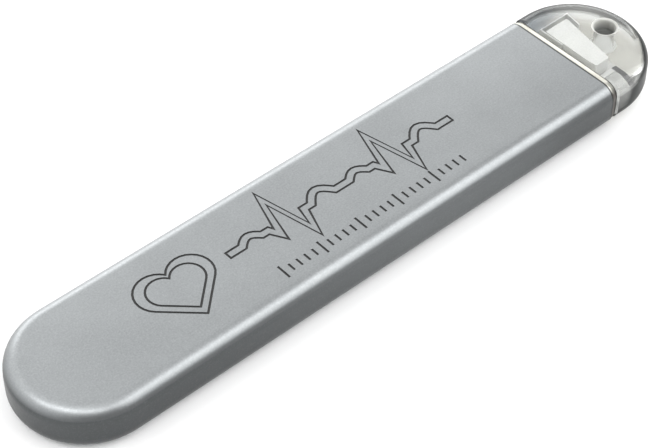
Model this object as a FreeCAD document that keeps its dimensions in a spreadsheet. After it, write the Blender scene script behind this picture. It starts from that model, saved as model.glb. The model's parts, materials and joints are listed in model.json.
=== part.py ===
import FreeCAD, Part
import os
from types import SimpleNamespace

import Sketcher
from FreeCAD import Vector

# Insertable cardiac monitor, a slim capsule that lies on its flat underside.
# X runs along the capsule from the rounded end of the can to the tip of the clear header,
# Y across it and Z up. The origin is the middle of the underside. Lengths are in millimetres.

OUTER_SIZES = {
    "total_length": 49.0,
    "body_width": 9.4,
    "body_height": 3.1,
    "upper_round": 1.0,
    "under_round": 1.0,
    "shell_wall": 0.3,
    "inside_break_share": 0.6,
    "fit_gap": 0.02,
    "band_height": 0.9,
    "band_thickness": 0.1,
    "plate_rim": 0.45,
    "bevel_depth": 0.12,
    "bevel_length": 0.38,
    "spigot_depth": 0.5,
}

FEEDTHROUGH_SIZES = {
    "ferrule_width": 3.8,
    "ferrule_height": 1.5,
    "ferrule_wall": 0.22,
    "flange_width": 0.2,
    "flange_thickness": 0.25,
    "braze_thickness": 0.06,
    "pin_radius": 0.15,
    "pin_spacing": 1.8,
    "pin_inner_reach": 0.6,
    "pin_outer_reach": 0.45,
}

HEADER_SIZES = {
    "header_length": 5.7,
    "header_upper_round": 0.95,
    "header_under_round": 1.05,
    "joint_break": 0.1,
    "hole_radius": 0.7,
    "hole_inset": 2.05,
    "hole_rim": 0.2,
    "carrier_gap": 0.55,
    "carrier_span": 4.5,
    "carrier_shift": 0.1,
    "carrier_far_clear": 0.23,
    "carrier_near_clear": 1.0,
    "carrier_cover": 0.35,
    "carrier_under": 0.8,
    "carrier_round": 0.12,
    "foot_width": 3.0,
    "foot_height": 0.35,
    "strip_height": 1.2,
    "strip_thickness": 0.1,
    "strip_gap": 0.35,
    "strip_end": 1.45,
    "ribbon_width": 0.35,
    "ribbon_thickness": 0.1,
    "ribbon_turn": 1.7,
    "arm_share": 0.31,
    "arm_inset": 0.6,
    "electrode_length": 1.6,
    "electrode_height": 0.45,
    "electrode_inset": 1.5,
    "electrode_clear": 1.0,
    "electrode_round": 0.3,
}

BATTERY_SIZES = {
    "film_thickness": 0.05,
    "film_clear": 0.1,
    "battery_edge_share": 0.75,
    "lid_recess": 0.15,
    "lid_rim": 0.3,
    "seal_radius": 0.45,
    "seal_depth": 0.4,
    "terminal_radius": 0.2,
    "terminal_reach": 0.6,
    "terminal_offset": 2.2,
    "plug_radius": 0.4,
    "plug_depth": 0.3,
    "tab_width": 0.8,
    "tab_thickness": 0.1,
    "tab_landing": 0.9,
    "tab_foot": 0.42,
}

BOARD_SIZES = {
    "board_length": 14.4,
    "board_thickness": 0.35,
    "board_gap": 0.04,
    "board_round": 0.3,
    "frame_gap": 1.0,
    "frame_end_gap": 0.25,
    "frame_wall": 0.4,
    "ledge_width": 0.3,
    "ledge_height": 0.65,
    "notch_width": 6.4,
    "notch_drop": 0.25,
    "part_margin": 0.45,
    "capacitor_length": 1.0,
    "capacitor_width": 0.5,
    "capacitor_height": 0.5,
    "resistor_length": 0.6,
    "resistor_width": 0.3,
    "resistor_height": 0.25,
    "resistor_pitch": 0.9,
    "resistor_margin": 0.8,
    "desiccant_length": 6.0,
    "desiccant_width": 2.6,
    "desiccant_height": 0.45,
    "desiccant_margin": 1.0,
}

# Each part on the board: length, width and height.
BOARD_PARTS = {
    "control_chip": (4.6, 3.6, 0.75),
    "memory_chip": (2.2, 1.6, 0.5),
    "accelerometer": (1.8, 1.8, 0.7),
    "radio_chip": (2.6, 2.6, 0.65),
    "sensing_chip": (2.2, 2.2, 0.6),
    "clock_crystal": (1.6, 1.0, 0.45),
    "inductor": (1.5, 0.8, 0.7),
}
PART_WORDS = ("length", "width", "height")

CAPACITOR_COUNT = 5
RESISTOR_COUNT = 10


class Size:
    """A length together with the expression that gives it from the sheet."""

    def __init__(self, value, text):
        self.value = value
        self.text = text

    def joined(self, other, sign, value):
        return Size(value, "({} {} {})".format(self.text, sign, other.text))

    def __add__(self, other):
        other = as_size(other)
        return self.joined(other, "+", self.value + other.value)

    def __sub__(self, other):
        other = as_size(other)
        return self.joined(other, "-", self.value - other.value)

    def __mul__(self, other):
        other = as_size(other)
        return self.joined(other, "*", self.value * other.value)

    def __truediv__(self, other):
        other = as_size(other)
        return self.joined(other, "/", self.value / other.value)

    def __neg__(self):
        return Size(-self.value, "(-1 * {})".format(self.text))


def as_size(value):
    if isinstance(value, Size):
        return value
    return Size(float(value), repr(float(value)))


def make_sheet(doc, groups):
    """The sheet of driving dimensions, and the same sizes as attributes for building expressions."""
    sheet = doc.addObject("Spreadsheet::Sheet", "Sizes")
    sizes = {}
    row = 1
    for group in groups:
        for alias, value in group.items():
            sheet.set("A{}".format(row), alias.replace("_", " "))
            sheet.set("B{}".format(row), str(value))
            sheet.setAlias("B{}".format(row), alias)
            sizes[alias] = Size(float(value), "Sizes.{}".format(alias))
            row += 1
    doc.recompute()
    return SimpleNamespace(**sizes)


doc = FreeCAD.newDocument("cardiac_monitor")
chip_sizes = {}
for chip_name, chip_numbers in BOARD_PARTS.items():
    for word, number in zip(PART_WORDS, chip_numbers):
        chip_sizes["{}_{}".format(chip_name, word)] = number
s = make_sheet(doc, (OUTER_SIZES, FEEDTHROUGH_SIZES, HEADER_SIZES, BATTERY_SIZES, BOARD_SIZES, chip_sizes))

# Planes and half sizes that several pieces share.
zero = as_size(0)
half_width = s.body_width / 2
seam = s.body_height / 2
can_tip = -s.total_length / 2
header_tip = s.total_length / 2
joint = header_tip - s.header_length
can_end = joint - s.plate_rim
inner_half = half_width - s.shell_wall


# Helpers for sketches and features.


def new_body(label):
    body = doc.addObject("PartDesign::Body", label)
    body.Label = label
    return body


def new_sketch(body, name, role, u=0, v=0, w=0):
    """A sketch on one of the body's own planes, with its origin moved by u and v in the plane and w off it."""
    sketch = body.newObject("Sketcher::SketchObject", "{}_{}".format(body.Label, name))
    plane = next(f for f in body.Origin.OriginFeatures if f.Role == role)
    sketch.AttachmentSupport = [(plane, "")]
    sketch.MapMode = "FlatFace"
    for axis, offset in zip("xyz", (u, v, w)):
        sketch.setExpression(".AttachmentOffset.Base.{}".format(axis), as_size(offset).text)
    return sketch


def drive(sketch, size, kind, *where):
    """Adds a constraint and binds its value to the sheet."""
    index = sketch.addConstraint(Sketcher.Constraint(kind, *where, size.value))
    sketch.setExpression("Constraints[{}]".format(index), size.text)


def hold(sketch, *constraints):
    for constraint in constraints:
        sketch.addConstraint(Sketcher.Constraint(*constraint))


def draw_polygon(sketch, points):
    """A closed outline of straight lines, each corner placed from the sketch's origin."""
    points = [(as_size(u), as_size(v)) for u, v in points]
    corners = [Vector(u.value, v.value, 0) for u, v in points]
    count = len(corners)
    first = sketch.GeometryCount
    for i in range(count):
        sketch.addGeometry(Part.LineSegment(corners[i], corners[(i + 1) % count]), False)
    for i in range(count):
        hold(sketch, ("Coincident", first + i, 2, first + (i + 1) % count, 1))
    for i, (u, v) in enumerate(points):
        drive(sketch, u, "DistanceX", -1, 1, first + i, 1)
        drive(sketch, v, "DistanceY", -1, 1, first + i, 1)


def draw_rectangle(sketch, low_u, high_u, low_v, high_v):
    draw_polygon(sketch, [(low_u, low_v), (high_u, low_v), (high_u, high_v), (low_u, high_v)])


def draw_circle(sketch, radius, u=0, v=0):
    u = as_size(u)
    v = as_size(v)
    index = sketch.addGeometry(Part.Circle(Vector(u.value, v.value, 0), Vector(0, 0, 1), radius.value), False)
    drive(sketch, radius, "Radius", index)
    drive(sketch, u, "DistanceX", -1, 1, index, 3)
    drive(sketch, v, "DistanceY", -1, 1, index, 3)


def draw_bullet(sketch, radius, length, side):
    """Half a circle about the sketch's origin that runs on in two straight sides of the given length.
    The straight sides run towards +u where side is 1 and towards -u where it is -1."""
    r = radius.value
    end = side * length.value
    turn = (90, 270) if side > 0 else (-90, 90)
    circle = Part.Circle(Vector(0, 0, 0), Vector(0, 0, 1), r)
    start, stop = (FreeCAD.Units.Quantity("{} deg".format(a)).getValueAs("rad").Value for a in turn)
    arc = sketch.addGeometry(Part.ArcOfCircle(circle, start, stop), False)
    first_v = -side * r
    first = sketch.addGeometry(Part.LineSegment(Vector(0, first_v, 0), Vector(end, first_v, 0)), False)
    flat = sketch.addGeometry(Part.LineSegment(Vector(end, first_v, 0), Vector(end, -first_v, 0)), False)
    last = sketch.addGeometry(Part.LineSegment(Vector(end, -first_v, 0), Vector(0, -first_v, 0)), False)
    hold(
        sketch,
        ("Coincident", arc, 3, -1, 1),
        ("Tangent", arc, 2, first, 1),
        ("Coincident", first, 2, flat, 1),
        ("Coincident", flat, 2, last, 1),
        ("Tangent", last, 2, arc, 1),
        ("Horizontal", first),
        ("Horizontal", last),
        ("Vertical", flat),
    )
    drive(sketch, radius, "Radius", arc)
    drive(sketch, length if side > 0 else -length, "DistanceX", -1, 1, flat, 1)


def draw_slot(sketch, width, height):
    """A slot with round ends, centred on the sketch's origin."""
    r = height.value / 2
    reach = (width.value - height.value) / 2
    quarter = FreeCAD.Units.Quantity("90 deg").getValueAs("rad").Value
    right = sketch.addGeometry(
        Part.ArcOfCircle(Part.Circle(Vector(reach, 0, 0), Vector(0, 0, 1), r), -quarter, quarter), False
    )
    top = sketch.addGeometry(Part.LineSegment(Vector(reach, r, 0), Vector(-reach, r, 0)), False)
    left = sketch.addGeometry(
        Part.ArcOfCircle(Part.Circle(Vector(-reach, 0, 0), Vector(0, 0, 1), r), quarter, 3 * quarter), False
    )
    low = sketch.addGeometry(Part.LineSegment(Vector(-reach, -r, 0), Vector(reach, -r, 0)), False)
    hold(
        sketch,
        ("Tangent", right, 2, top, 1),
        ("Tangent", top, 2, left, 1),
        ("Tangent", left, 2, low, 1),
        ("Tangent", low, 2, right, 1),
        ("Horizontal", top),
        ("Equal", left, right),
        ("Symmetric", left, 3, right, 3, -1, 1),
    )
    drive(sketch, height / 2, "Radius", right)
    drive(sketch, width - height, "DistanceX", left, 3, right, 3)


def draw_rounded(sketch, half_u, half_v, corner, under=None):
    """A rectangle with rounded corners about the sketch's origin. The two lower corners can have their own radius."""
    under = corner if under is None else under
    quarter = FreeCAD.Units.Quantity("90 deg").getValueAs("rad").Value
    arcs = []
    for i, (a, b, radius) in enumerate(((1, 1, corner), (-1, 1, corner), (-1, -1, under), (1, -1, under))):
        r = radius.value
        centre = Vector(a * (half_u.value - r), b * (half_v.value - r), 0)
        circle = Part.Circle(centre, Vector(0, 0, 1), r)
        arcs.append(sketch.addGeometry(Part.ArcOfCircle(circle, i * quarter, (i + 1) * quarter), False))
    lines = []
    for i in range(4):
        start = sketch.Geometry[arcs[i]].EndPoint
        stop = sketch.Geometry[arcs[(i + 1) % 4]].StartPoint
        lines.append(sketch.addGeometry(Part.LineSegment(start, stop), False))
    for i in range(4):
        hold(sketch, ("Tangent", arcs[i], 2, lines[i], 1), ("Tangent", lines[i], 2, arcs[(i + 1) % 4], 1))
    hold(sketch, ("Horizontal", lines[0]), ("Vertical", lines[1]), ("Horizontal", lines[2]), ("Vertical", lines[3]))
    hold(sketch, ("Equal", arcs[0], arcs[1]), ("Equal", arcs[2], arcs[3]))
    drive(sketch, corner, "Radius", arcs[0])
    drive(sketch, under, "Radius", arcs[2])
    drive(sketch, half_v, "DistanceY", -1, 1, lines[0], 1)
    drive(sketch, -half_u, "DistanceX", -1, 1, lines[1], 1)
    drive(sketch, -half_v, "DistanceY", -1, 1, lines[2], 1)
    drive(sketch, half_u, "DistanceX", -1, 1, lines[3], 1)


def pad(body, sketch, length, back=False, midplane=False):
    feature = body.newObject("PartDesign::Pad", sketch.Name + "_pad")
    feature.Profile = sketch
    feature.setExpression("Length", as_size(length).text)
    feature.Reversed = back
    feature.Midplane = midplane
    sketch.Visibility = False
    doc.recompute()
    return feature


def pocket(body, sketch, length, back=False, midplane=False):
    """Cuts the sketch out of the body, and stops the build if the cut meets nothing."""
    before = body.Shape.Volume
    feature = body.newObject("PartDesign::Pocket", sketch.Name + "_pocket")
    feature.Profile = sketch
    feature.setExpression("Length", as_size(length).text)
    feature.Reversed = back
    feature.Midplane = midplane
    sketch.Visibility = False
    doc.recompute()
    if not body.Shape.Volume < before - 1e-6:
        raise RuntimeError("{} cuts nothing".format(feature.Name))
    return feature


def edges_where(shape, test):
    return ["Edge{}".format(i + 1) for i, edge in enumerate(shape.Edges) if test(edge)]


def fillet(body, base, radius, test):
    feature = body.newObject("PartDesign::Fillet", base.Name + "_fillet")
    feature.Base = (base, edges_where(base.Shape, test))
    feature.setExpression("Radius", as_size(radius).text)
    doc.recompute()
    return feature


def lies_at(level, axis="Z"):
    """True for an edge whose every point has that coordinate."""

    def test(edge):
        box = edge.BoundBox
        low = getattr(box, axis + "Min")
        high = getattr(box, axis + "Max")
        return abs(low - level.value) < 1e-4 and abs(high - level.value) < 1e-4

    return test


def both(*tests):
    return lambda edge: all(test(edge) for test in tests)


def not_at(level, axis):
    inner = lies_at(level, axis)
    return lambda edge: not inner(edge)


def upright(edge):
    box = edge.BoundBox
    return box.ZLength > 1e-3 and box.XLength < 1e-4 and box.YLength < 1e-4


def chamfer(body, base, depth, test, length=None):
    """Breaks edges evenly, or by two distances where a length is given."""
    feature = body.newObject("PartDesign::Chamfer", base.Name + "_chamfer")
    feature.Base = (base, edges_where(base.Shape, test))
    if length is not None:
        feature.ChamferType = "Two distances"
        feature.setExpression("Size2", as_size(length).text)
    feature.setExpression("Size", as_size(depth).text)
    doc.recompute()
    return feature


def box_part(label, length, width, height, x, y, z):
    """A plain block placed by the middle of its length and width and by its underside."""
    box = doc.addObject("Part::Box", label)
    box.Label = label
    box.setExpression("Length", length.text)
    box.setExpression("Width", width.text)
    box.setExpression("Height", height.text)
    box.setExpression(".Placement.Base.x", (x - length / 2).text)
    box.setExpression(".Placement.Base.y", (y - width / 2).text)
    box.setExpression(".Placement.Base.z", z.text)
    return box


def rod_part(label, radius, start, length, y, z):
    """A round rod along X."""
    rod = doc.addObject("Part::Cylinder", label)
    rod.Label = label
    rod.setExpression("Radius", radius.text)
    rod.setExpression("Height", length.text)
    rod.Placement = FreeCAD.Placement(Vector(0, 0, 0), FreeCAD.Rotation(Vector(0, 1, 0), 90))
    rod.setExpression(".Placement.Base.x", start.text)
    rod.setExpression(".Placement.Base.y", as_size(y).text)
    rod.setExpression(".Placement.Base.z", as_size(z).text)
    return rod


def group_part(label, members):
    group = doc.addObject("Part::Compound", label)
    group.Label = label
    group.Links = members
    return group


# Titanium can: two drawn half shells and the strip behind their weld.


def half_shell(label, low, edge, open_side_up):
    """Half of the can, with its open side at the seam and its end open towards the header."""
    body = new_body(label)
    centre = can_tip + half_width
    outline = new_sketch(body, "outline", "XY_Plane", centre, 0, low)
    draw_bullet(outline, half_width, can_end - centre, 1)
    pad(body, outline, seam)
    inside = new_sketch(body, "inside", "XY_Plane", centre, 0, seam)
    draw_bullet(inside, inner_half, can_end - centre + s.shell_wall, 1)
    hollow = pocket(body, inside, seam - s.shell_wall, back=not open_side_up)
    inner_level = low + s.shell_wall if open_side_up else low + seam - s.shell_wall
    outer_level = low if open_side_up else low + seam
    inside_break = (edge - s.shell_wall) * s.inside_break_share
    broken = chamfer(body, hollow, inside_break, both(lies_at(inner_level), not_at(can_end, "X")))
    fillet(body, broken, edge, both(lies_at(outer_level), not_at(can_end, "X")))
    return body


def weld_band():
    body = new_body("weld_band")
    centre = can_tip + half_width
    end = can_end - s.spigot_depth - s.fit_gap
    outline = new_sketch(body, "outline", "XY_Plane", centre, 0, seam)
    draw_bullet(outline, inner_half - s.fit_gap, end - centre, 1)
    pad(body, outline, s.band_height, midplane=True)
    inside = new_sketch(body, "inside", "XY_Plane", centre, 0, seam)
    draw_bullet(inside, inner_half - s.fit_gap - s.band_thickness, end - centre + s.band_thickness, 1)
    pocket(body, inside, s.band_height * 2, midplane=True)
    return body


# Header plate, which closes the can's open end and carries the feedthrough.


def header_plate():
    body = new_body("header_plate")
    rim = new_sketch(body, "rim", "YZ_Plane", 0, seam, can_end)
    draw_rounded(rim, half_width, seam, s.upper_round, s.under_round)
    block = pad(body, rim, s.plate_rim)
    chamfer(body, block, s.bevel_depth, lies_at(joint, "X"), s.bevel_length)
    spigot = new_sketch(body, "spigot", "YZ_Plane", 0, seam, can_end)
    draw_rounded(
        spigot,
        inner_half - s.fit_gap,
        seam - s.shell_wall - s.fit_gap,
        s.upper_round,
        s.under_round,
    )
    pad(body, spigot, s.spigot_depth, back=True)
    opening = new_sketch(body, "opening", "YZ_Plane", 0, seam, can_end)
    draw_slot(opening, s.ferrule_width + s.fit_gap * 2, s.ferrule_height + s.fit_gap * 2)
    pocket(body, opening, (s.spigot_depth + s.plate_rim) * 3, midplane=True)
    return body


# Feedthrough: a flanged ferrule with a ceramic insulator and two pins, brazed with gold.

ferrule_start = can_end - s.spigot_depth
flange_face = ferrule_start - s.flange_thickness
ferrule_length = joint - ferrule_start
pin_y = s.pin_spacing / 2
slot_width = s.ferrule_width - s.ferrule_wall * 2
slot_height = s.ferrule_height - s.ferrule_wall * 2


def feedthrough_ferrule():
    body = new_body("feedthrough_ferrule")
    barrel = new_sketch(body, "barrel", "YZ_Plane", 0, seam, ferrule_start)
    draw_slot(barrel, s.ferrule_width, s.ferrule_height)
    pad(body, barrel, ferrule_length)
    flange = new_sketch(body, "flange", "YZ_Plane", 0, seam, flange_face)
    draw_slot(flange, s.ferrule_width + s.flange_width * 2, s.ferrule_height + s.flange_width * 2)
    pad(body, flange, s.flange_thickness)
    opening = new_sketch(body, "opening", "YZ_Plane", 0, seam, ferrule_start)
    draw_slot(opening, slot_width, slot_height)
    pocket(body, opening, ferrule_length * 4, midplane=True)
    return body


def feedthrough_insulator():
    body = new_body("feedthrough_insulator")
    block = new_sketch(body, "block", "YZ_Plane", 0, seam, flange_face)
    draw_slot(block, slot_width - s.braze_thickness * 2, slot_height - s.braze_thickness * 2)
    pad(body, block, joint - flange_face)
    holes = new_sketch(body, "holes", "YZ_Plane", 0, seam, flange_face)
    for side in (-1, 1):
        draw_circle(holes, s.pin_radius + s.braze_thickness, pin_y * side, 0)
    pocket(body, holes, (joint - flange_face) * 3, midplane=True)
    return body


def feedthrough_brazes():
    ring = new_body("insulator_braze")
    outer = new_sketch(ring, "outer", "YZ_Plane", 0, seam, flange_face)
    draw_slot(outer, slot_width, slot_height)
    pad(ring, outer, joint - flange_face)
    inner = new_sketch(ring, "inner", "YZ_Plane", 0, seam, flange_face)
    draw_slot(inner, slot_width - s.braze_thickness * 2, slot_height - s.braze_thickness * 2)
    pocket(ring, inner, (joint - flange_face) * 3, midplane=True)
    sleeves = []
    for side, word in ((-1, "near"), (1, "far")):
        sleeve = new_body("pin_braze_" + word)
        hoop = new_sketch(sleeve, "hoop", "YZ_Plane", pin_y * side, seam, flange_face)
        draw_circle(hoop, s.pin_radius + s.braze_thickness)
        draw_circle(hoop, s.pin_radius)
        pad(sleeve, hoop, joint - flange_face)
        sleeves.append(sleeve)
    return group_part("feedthrough_brazes", [ring] + sleeves)


def feedthrough_pin(label, side):
    start = flange_face - s.pin_inner_reach
    return rod_part(label, s.pin_radius, start, joint + s.pin_outer_reach - start, pin_y * side, seam)


# Clear header, cast round the pieces that it holds.

carrier_start = joint + s.carrier_gap
carrier_far = s.carrier_shift + s.carrier_span / 2
carrier_near = s.carrier_shift - s.carrier_span / 2
carrier_height = s.body_height - s.carrier_cover - s.carrier_under
carrier_room = s.header_length - s.hole_inset - s.hole_radius - s.hole_rim - s.carrier_gap
far_depth = carrier_room - s.carrier_far_clear
near_depth = carrier_room - s.carrier_near_clear
carrier_slope = (far_depth - near_depth) / s.carrier_span
arm_x = joint + s.header_length * s.arm_share
electrode_width = half_width - s.electrode_inset - s.electrode_clear
pin_top = seam + s.pin_radius


def header_casting():
    body = new_body("header_casting")
    centre = header_tip - half_width
    outline = new_sketch(body, "outline", "XY_Plane", centre, 0, 0)
    draw_bullet(outline, half_width, centre - joint, -1)
    block = pad(body, outline, s.body_height)
    upper = fillet(body, block, s.header_upper_round, both(lies_at(s.body_height), not_at(joint, "X")))
    under = fillet(body, upper, s.header_under_round, both(lies_at(zero), not_at(joint, "X")))
    chamfer(body, under, s.joint_break, lies_at(joint, "X"))
    hole = new_sketch(body, "hole", "XY_Plane", header_tip - s.hole_inset, 0, 0)
    draw_circle(hole, s.hole_radius)
    drilled = pocket(body, hole, s.body_height * 3, midplane=True)

    def hole_mouth(edge):
        box = edge.BoundBox
        across = abs(box.YLength - s.hole_radius.value * 2) < 1e-3
        return across and (lies_at(zero)(edge) or lies_at(s.body_height)(edge))

    chamfer(body, drilled, s.hole_rim, hole_mouth)
    return body


def antenna_carrier():
    """White moulded block with a slanted outer face and a foot that stands on the header plate."""
    body = new_body("antenna_carrier")
    block = new_sketch(body, "block", "XY_Plane", 0, 0, s.carrier_under)
    draw_polygon(
        block,
        [
            (carrier_start, carrier_near),
            (carrier_start + near_depth, carrier_near),
            (carrier_start + far_depth, carrier_far),
            (carrier_start, carrier_far),
        ],
    )
    raised = pad(body, block, carrier_height)
    fillet(body, raised, s.carrier_round, upright)
    foot = new_sketch(body, "foot", "XY_Plane", 0, 0, s.carrier_under)
    draw_rectangle(
        foot,
        joint,
        carrier_start + s.carrier_round * 2,
        -s.foot_width / 2,
        s.foot_width / 2,
    )
    pad(body, foot, s.foot_height)
    return body


def antenna_strip():
    """Ribbon on edge that runs from its pin round the far end of the carrier and back along its slanted face."""
    body = new_body("antenna_strip")
    low = seam - s.pin_radius
    inner_x = joint + s.pin_outer_reach
    outer_x = inner_x + s.strip_thickness
    inner_y = carrier_far + s.strip_gap
    outer_y = inner_y + s.strip_thickness
    start_y = pin_y - s.pin_radius
    end_y = s.strip_end

    def slanted(y, gap):
        return carrier_start + near_depth + carrier_slope * (y - carrier_near) + gap

    path = new_sketch(body, "path", "XY_Plane", 0, 0, low)
    draw_polygon(
        path,
        [
            (inner_x, start_y),
            (outer_x, start_y),
            (outer_x, inner_y),
            (slanted(inner_y, s.strip_gap), inner_y),
            (slanted(end_y, s.strip_gap), end_y),
            (slanted(end_y, s.strip_gap + s.strip_thickness), end_y),
            (slanted(outer_y, s.strip_gap + s.strip_thickness), outer_y),
            (inner_x, outer_y),
        ],
    )
    pad(body, path, s.strip_height)
    return body


def electrode_ribbon():
    """Flat ribbon from its pin to the near side of the header, then down to the electrode below."""
    body = new_body("electrode_ribbon")
    w = s.ribbon_width
    start_x = joint + s.pin_outer_reach - w
    turn_y = -pin_y - s.ribbon_turn
    leg_y = s.arm_inset - half_width
    plan = new_sketch(body, "plan", "XY_Plane", 0, 0, pin_top)
    draw_polygon(
        plan,
        [
            (start_x, s.pin_radius - pin_y),
            (start_x, turn_y - w),
            (arm_x - w / 2, turn_y - w),
            (arm_x - w / 2, leg_y),
            (arm_x + w / 2, leg_y),
            (arm_x + w / 2, turn_y),
            (start_x + w, turn_y),
            (start_x + w, s.pin_radius - pin_y),
        ],
    )
    pad(body, plan, s.ribbon_thickness)
    t = s.ribbon_thickness
    tab_y = s.electrode_inset + s.electrode_round - half_width
    drop = new_sketch(body, "drop", "YZ_Plane", 0, 0, arm_x)
    draw_polygon(
        drop,
        [
            (leg_y, pin_top + t),
            (leg_y, s.electrode_height),
            (tab_y, s.electrode_height),
            (tab_y, s.electrode_height + t),
            (leg_y + t, s.electrode_height + t),
            (leg_y + t, pin_top + t),
        ],
    )
    pad(body, drop, w, midplane=True)
    return body


def header_electrode():
    """Sensing electrode, flush with the underside of the header."""
    body = new_body("header_electrode")
    middle_y = s.electrode_inset - half_width + electrode_width / 2
    plate = new_sketch(body, "plate", "XY_Plane", arm_x, middle_y, 0)
    draw_rounded(plate, s.electrode_length / 2, electrode_width / 2, s.electrode_round)
    pad(body, plate, s.electrode_height)
    return body


def header_body(inserts):
    """The casting less everything that it is cast round."""
    cast = doc.addObject("Part::Cut", "header_body")
    cast.Label = "header_body"
    cast.Base = header_casting()
    cast.Tool = group_part("header_inserts", inserts)
    return cast


# Battery: a sealed flat cell in an insulating film, with a glass-sealed terminal in its end.
# The feedthrough, the board and the battery are set out from the header plate inwards.

film_room = s.film_thickness + s.fit_gap * 2
cell_half = inner_half - s.fit_gap - s.band_thickness - film_room
cell_low = s.shell_wall + film_room
cell_high = s.body_height - cell_low
cell_rise = (cell_high - cell_low) / 2
film_round = s.under_round - s.shell_wall - s.film_clear
battery_edge = film_round * s.battery_edge_share
frame_end = flange_face - s.frame_end_gap
board_end = frame_end - s.frame_wall - s.board_gap
board_start = board_end - s.board_length
frame_start = board_start - s.board_gap - s.frame_wall
cell_end = frame_start - s.frame_gap


def battery():
    body = new_body("battery")
    centre = can_tip + half_width
    outline = new_sketch(body, "outline", "XY_Plane", centre, 0, cell_low)
    draw_bullet(outline, cell_half, cell_end - centre, 1)
    block = pad(body, outline, cell_high - cell_low)
    chamfer(body, block, battery_edge, lambda e: not upright(e) and not lies_at(cell_end, "X")(e))
    lid = new_sketch(body, "lid", "YZ_Plane", 0, seam, cell_end)
    draw_rounded(lid, cell_half - s.lid_rim, cell_rise - s.lid_rim, battery_edge)
    pocket(body, lid, s.lid_recess)
    seal_bore = new_sketch(body, "seal_bore", "YZ_Plane", 0, seam, cell_end - s.lid_recess)
    draw_circle(seal_bore, s.seal_radius, s.terminal_offset, 0)
    pocket(body, seal_bore, s.seal_depth)
    fill_bore = new_sketch(body, "fill_bore", "YZ_Plane", 0, seam, cell_end - s.lid_recess)
    draw_circle(fill_bore, s.plug_radius)
    pocket(body, fill_bore, s.plug_depth)
    return body


def film_sleeve(label, start, end):
    """Insulating film wrapped round the battery's or the frame's section."""
    body = new_body(label)
    outer = new_sketch(body, "outer", "YZ_Plane", 0, seam, start)
    thickness = s.film_thickness
    draw_rounded(outer, cell_half + s.fit_gap + thickness, cell_rise + s.fit_gap + thickness, film_round)
    pad(body, outer, end - start)
    inner = new_sketch(body, "inner", "YZ_Plane", 0, seam, start)
    draw_rounded(inner, cell_half + s.fit_gap, cell_rise + s.fit_gap, film_round - thickness)
    pocket(body, inner, (end - start) * 3, midplane=True)
    return body


def battery_seal():
    body = new_body("battery_seal")
    ring = new_sketch(body, "ring", "YZ_Plane", s.terminal_offset, seam, cell_end - s.lid_recess - s.seal_depth)
    draw_circle(ring, s.seal_radius)
    draw_circle(ring, s.terminal_radius)
    pad(body, ring, s.seal_depth)
    return body


def battery_terminal():
    start = cell_end - s.lid_recess - s.seal_depth
    length = s.seal_depth + s.lid_recess + s.terminal_reach
    return rod_part("battery_terminal", s.terminal_radius, start, length, s.terminal_offset, seam)


def battery_fill_plug():
    start = cell_end - s.lid_recess - s.plug_depth
    return rod_part("battery_fill_plug", s.plug_radius, start, s.plug_depth, 0, seam)


# Electronics: a moulded frame in an insulating film, a circuit board on its ledge and the board's parts.

board_under = cell_low + s.ledge_height
board_top = board_under + s.board_thickness
board_middle = (board_start + board_end) / 2
board_half = cell_half - s.frame_wall - s.board_gap
window_half = cell_half - s.frame_wall - s.ledge_width
tab_high = seam + s.terminal_radius

# The parts stand in columns, with the same gap between columns, clear of the battery's tabs.
tab_end = board_start + tab_high - board_top + s.tab_landing
column_lengths = s.capacitor_width + s.control_chip_length + s.radio_chip_length + s.clock_crystal_length
column_gap = (board_end - tab_end - column_lengths - s.part_margin) / 4
capacitor_x = tab_end + column_gap + s.capacitor_width / 2
control_start = capacitor_x + s.capacitor_width / 2 + column_gap
control_end = control_start + s.control_chip_length
radio_x = control_end + column_gap + s.radio_chip_length / 2
crystal_x = board_end - s.part_margin - s.clock_crystal_length / 2
part_places = {
    "control_chip": ((control_start + control_end) / 2, 1),
    "memory_chip": (control_start + s.memory_chip_length / 2, -1),
    "accelerometer": (control_end - s.accelerometer_length / 2, -1),
    "radio_chip": (radio_x, 1),
    "sensing_chip": (radio_x, -1),
    "clock_crystal": (crystal_x, 1),
    "inductor": (crystal_x, -1),
}


def electronics_frame():
    body = new_body("electronics_frame")
    section = new_sketch(body, "section", "YZ_Plane", 0, seam, frame_start)
    draw_rounded(section, cell_half, cell_rise, film_round)
    pad(body, section, frame_end - frame_start)
    well = new_sketch(body, "well", "XY_Plane", 0, 0, cell_high)
    draw_rectangle(
        well,
        frame_start + s.frame_wall,
        frame_end - s.frame_wall,
        s.frame_wall - cell_half,
        cell_half - s.frame_wall,
    )
    pocket(body, well, cell_high - board_under)
    window = new_sketch(body, "window", "XY_Plane", 0, 0, board_under)
    edge = s.frame_wall + s.ledge_width
    draw_rectangle(window, frame_start + edge, frame_end - edge, -window_half, window_half)
    pocket(body, window, s.ledge_height * 2)
    notch = new_sketch(body, "notch", "YZ_Plane", 0, 0, (frame_start + frame_end) / 2)
    draw_rectangle(notch, -s.notch_width / 2, s.notch_width / 2, board_top - s.notch_drop, s.body_height)
    pocket(body, notch, (frame_end - frame_start) * 2, midplane=True)
    return body


def circuit_board():
    body = new_body("circuit_board")
    sheet = new_sketch(body, "sheet", "XY_Plane", board_middle, 0, board_under)
    draw_rounded(sheet, s.board_length / 2, board_half, s.board_round)
    pad(body, sheet, s.board_thickness)
    return body


def board_part(name):
    length, width, height = (getattr(s, "{}_{}".format(name, word)) for word in PART_WORDS)
    x, side = part_places[name]
    y = (board_half - s.part_margin - width / 2) * side
    return box_part(name, length, width, height, x, y, board_top)


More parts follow.
